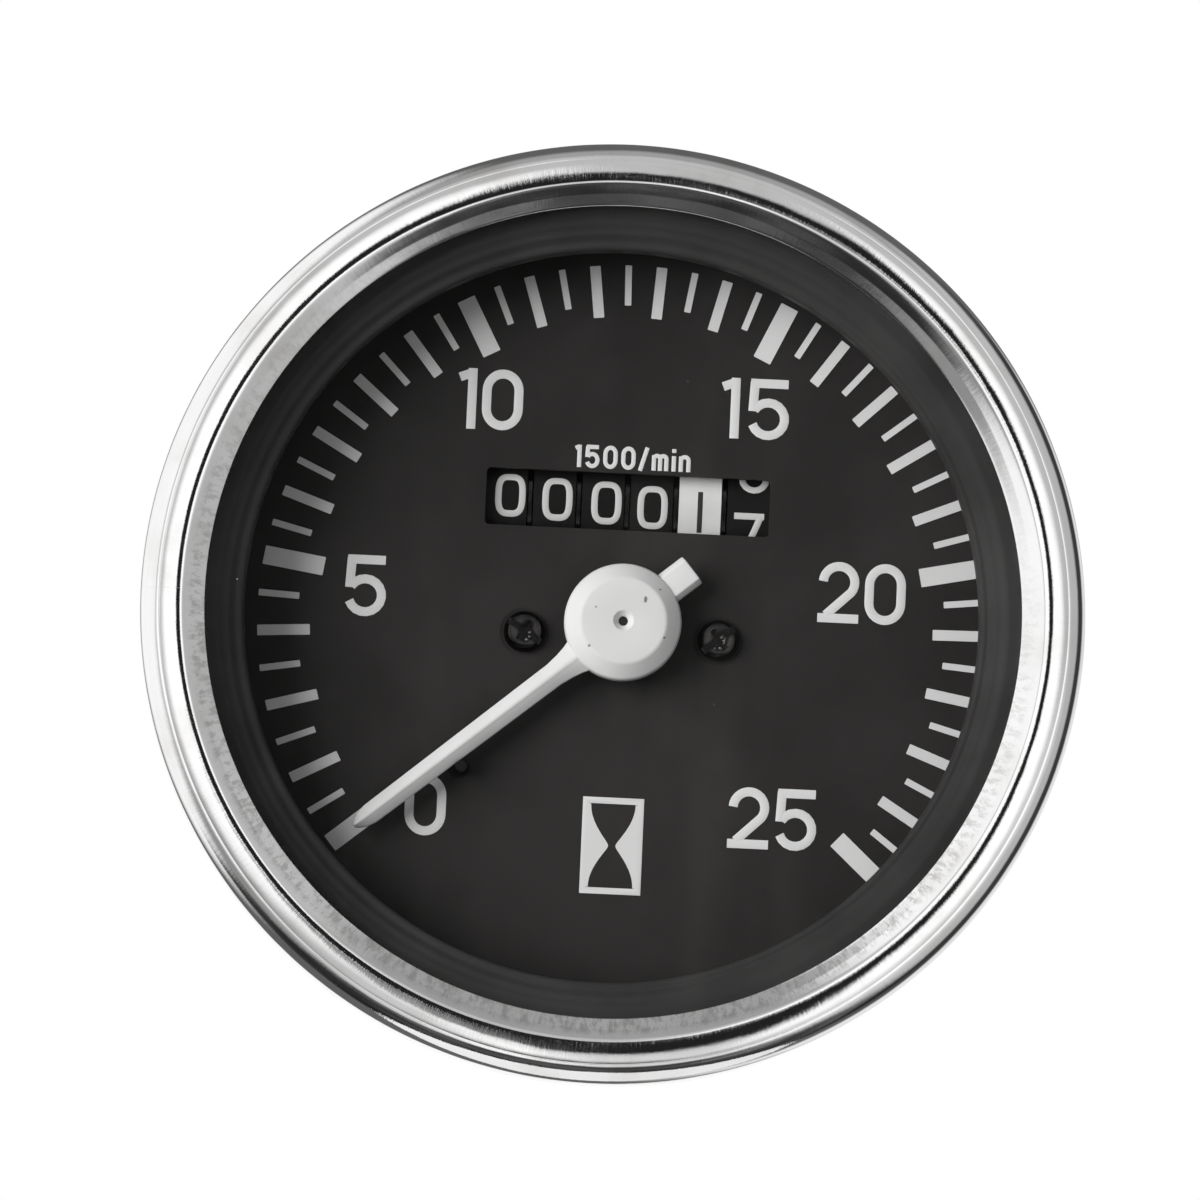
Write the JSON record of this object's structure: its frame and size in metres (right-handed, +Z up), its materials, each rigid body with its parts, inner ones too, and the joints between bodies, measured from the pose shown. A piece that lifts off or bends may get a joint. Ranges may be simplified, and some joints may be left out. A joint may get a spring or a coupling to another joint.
{
  "type": "panel tachometer with hour counter",
  "caption": "Round chromed panel instrument with a black 0 to 25 dial, white pointer, drum hour counter and shaft drive at the back.",
  "frame": {"origin": "on the case's axis, in the plane of the panel that the bezel's gasket seats on", "axes": "+Y along the case's axis towards the back, so the dial faces -Y; +Z up with the dial upright"},
  "size_m": [0.11, 0.0871, 0.11],
  "materials": {
    "chrome": "bright chromium plate",
    "glass": "clear flat glass",
    "rubber": "moulded black rubber",
    "black_paint": "matt black enamel",
    "dial_black": "matt charcoal enamel",
    "print": "pad-printed light grey ink",
    "screw_black": "blackened steel",
    "pointer_white": "white enamel with small chips",
    "steel": "turned bright steel",
    "zinc": "zinc-plated pressed steel",
    "casting": "grey zinc-alloy die casting",
    "aluminium": "spun aluminium",
    "brass": "turned brass",
    "bronze": "phosphor bronze",
    "magnet": "dark sintered magnet",
    "nylon": "natural nylon",
    "drum_black": "black moulded plastic",
    "drum_white": "white moulded plastic",
    "fibre": "vulcanised fibre",
    "bulb": "frosted bulb glass"
  },
  "bodies": {
    "housing": {"bezel_ring": "chrome", "glass": "glass", "glass_gasket": "rubber", "panel_gasket": "rubber", "inner_ring": "black_paint", "case": "black_paint", "dial": "dial_black", "scale_print": "print", "dial_screws": "screw_black", "stop_pin": "screw_black", "flux_cup": "steel", "counter_shaft": "steel", "dial_bridge": "zinc", "counter_frame": "zinc", "regulator_arm": "zinc", "spigot_nut": "zinc", "transfer_plates": "zinc", "movement_screws": "zinc", "clamp_bow": "zinc", "mounting_studs": "zinc", "stud_washers": "zinc", "lamp_holder": "zinc", "rear_plate": "casting", "pillars": "brass", "staff_bush": "brass", "drive_spigot": "brass", "stud_nuts": "brass", "lamp_contact": "brass", "hairspring": "bronze", "spindle_bush": "bronze", "lamp_insulator": "fibre", "lamp_bulb": "bulb"},
    "pointer": {"pointer": "pointer_white", "pointer_staff": "steel", "drag_cup": "aluminium", "hairspring_collet": "brass"},
    "spindle": {"drive_spindle": "steel", "magnet": "magnet"},
    "cross_shaft": {"cross_shaft": "steel", "cross_wheel": "nylon"},
    "lay_shaft": {"lay_shaft": "steel", "lay_wheel": "nylon"},
    "drum_6": {"drum_6": "drum_black", "counter_wheel": "nylon"},
    "drum_1": {"drum_1": "drum_black"},
    "transfer_pinion_1": {"transfer_pinion_1": "nylon"},
    "drum_2": {"drum_2": "drum_black"},
    "transfer_pinion_2": {"transfer_pinion_2": "nylon"},
    "drum_3": {"drum_3": "drum_black"},
    "transfer_pinion_3": {"transfer_pinion_3": "nylon"},
    "drum_4": {"drum_4": "drum_black"},
    "transfer_pinion_4": {"transfer_pinion_4": "nylon"},
    "drum_5": {"drum_5": "drum_white"},
    "transfer_pinion_5": {"transfer_pinion_5": "nylon"}
  },
  "joints": [
    {"name": "pointer_swing", "type": "hinge", "parent": "housing", "child": "pointer", "pos_m": [0.0015, 0, 0], "axis": [0, 1, 0], "range_deg": [0, 262], "stiffness_Nm_per_rad": 0.0003, "springref_deg": -57.3, "deforming": ["hairspring"]},
    {"name": "drive_spindle_spin", "type": "hinge", "parent": "housing", "child": "spindle", "pos_m": [0.0015, 0, 0], "axis": [0, 1, 0], "continuous": true},
    {"name": "cross_shaft_spin", "type": "hinge", "parent": "housing", "child": "cross_shaft", "pos_m": [0, 0.05431, 0.0075], "axis": [1, 0, 0], "continuous": true},
    {"name": "lay_shaft_spin", "type": "hinge", "parent": "housing", "child": "lay_shaft", "pos_m": [0.02301, 0, 0.02245], "axis": [0, 1, 0], "continuous": true},
    {"name": "drum_6_spin", "type": "hinge", "parent": "housing", "child": "drum_6", "pos_m": [0, 0.02252, 0.0147], "axis": [1, 0, 0], "continuous": true},
    {"name": "drum_5_spin", "type": "hinge", "parent": "housing", "child": "drum_5", "pos_m": [0, 0.02252, 0.0147], "axis": [1, 0, 0], "continuous": true},
    {"name": "transfer_pinion_5_spin", "type": "hinge", "parent": "housing", "child": "transfer_pinion_5", "pos_m": [0, 0.02952, 0.0147], "axis": [1, 0, 0], "continuous": true},
    {"name": "drum_4_spin", "type": "hinge", "parent": "housing", "child": "drum_4", "pos_m": [0, 0.02252, 0.0147], "axis": [1, 0, 0], "continuous": true},
    {"name": "transfer_pinion_4_spin", "type": "hinge", "parent": "housing", "child": "transfer_pinion_4", "pos_m": [0, 0.02952, 0.0147], "axis": [1, 0, 0], "continuous": true},
    {"name": "drum_3_spin", "type": "hinge", "parent": "housing", "child": "drum_3", "pos_m": [0, 0.02252, 0.0147], "axis": [1, 0, 0], "continuous": true},
    {"name": "transfer_pinion_3_spin", "type": "hinge", "parent": "housing", "child": "transfer_pinion_3", "pos_m": [0, 0.02952, 0.0147], "axis": [1, 0, 0], "continuous": true},
    {"name": "drum_2_spin", "type": "hinge", "parent": "housing", "child": "drum_2", "pos_m": [0, 0.02252, 0.0147], "axis": [1, 0, 0], "continuous": true},
    {"name": "transfer_pinion_2_spin", "type": "hinge", "parent": "housing", "child": "transfer_pinion_2", "pos_m": [0, 0.02952, 0.0147], "axis": [1, 0, 0], "continuous": true},
    {"name": "drum_1_spin", "type": "hinge", "parent": "housing", "child": "drum_1", "pos_m": [0, 0.02252, 0.0147], "axis": [1, 0, 0], "continuous": true},
    {"name": "transfer_pinion_1_spin", "type": "hinge", "parent": "housing", "child": "transfer_pinion_1", "pos_m": [0, 0.02952, 0.0147], "axis": [1, 0, 0], "continuous": true}
  ],
  "couplings": [
    {"joint": "cross_shaft_spin", "follows": "drive_spindle_spin", "ratio": -0.066667},
    {"joint": "lay_shaft_spin", "follows": "drive_spindle_spin", "ratio": -0.0033333},
    {"joint": "drum_6_spin", "follows": "drive_spindle_spin", "ratio": -0.00022222},
    {"joint": "drum_5_spin", "follows": "drive_spindle_spin", "ratio": -0.000022222},
    {"joint": "transfer_pinion_5_spin", "follows": "drive_spindle_spin", "ratio": -0.000074074},
    {"joint": "drum_4_spin", "follows": "drive_spindle_spin", "ratio": -0.0000022222},
    {"joint": "transfer_pinion_4_spin", "follows": "drive_spindle_spin", "ratio": -0.0000074074},
    {"joint": "drum_3_spin", "follows": "drive_spindle_spin", "ratio": -0.00000022222},
    {"joint": "transfer_pinion_3_spin", "follows": "drive_spindle_spin", "ratio": -0.00000074074},
    {"joint": "drum_2_spin", "follows": "drive_spindle_spin", "ratio": -0.000000022222},
    {"joint": "transfer_pinion_2_spin", "follows": "drive_spindle_spin", "ratio": -0.000000074074},
    {"joint": "drum_1_spin", "follows": "drive_spindle_spin", "ratio": -0.0000000022222},
    {"joint": "transfer_pinion_1_spin", "follows": "drive_spindle_spin", "ratio": -0.0000000074074}
  ]
}
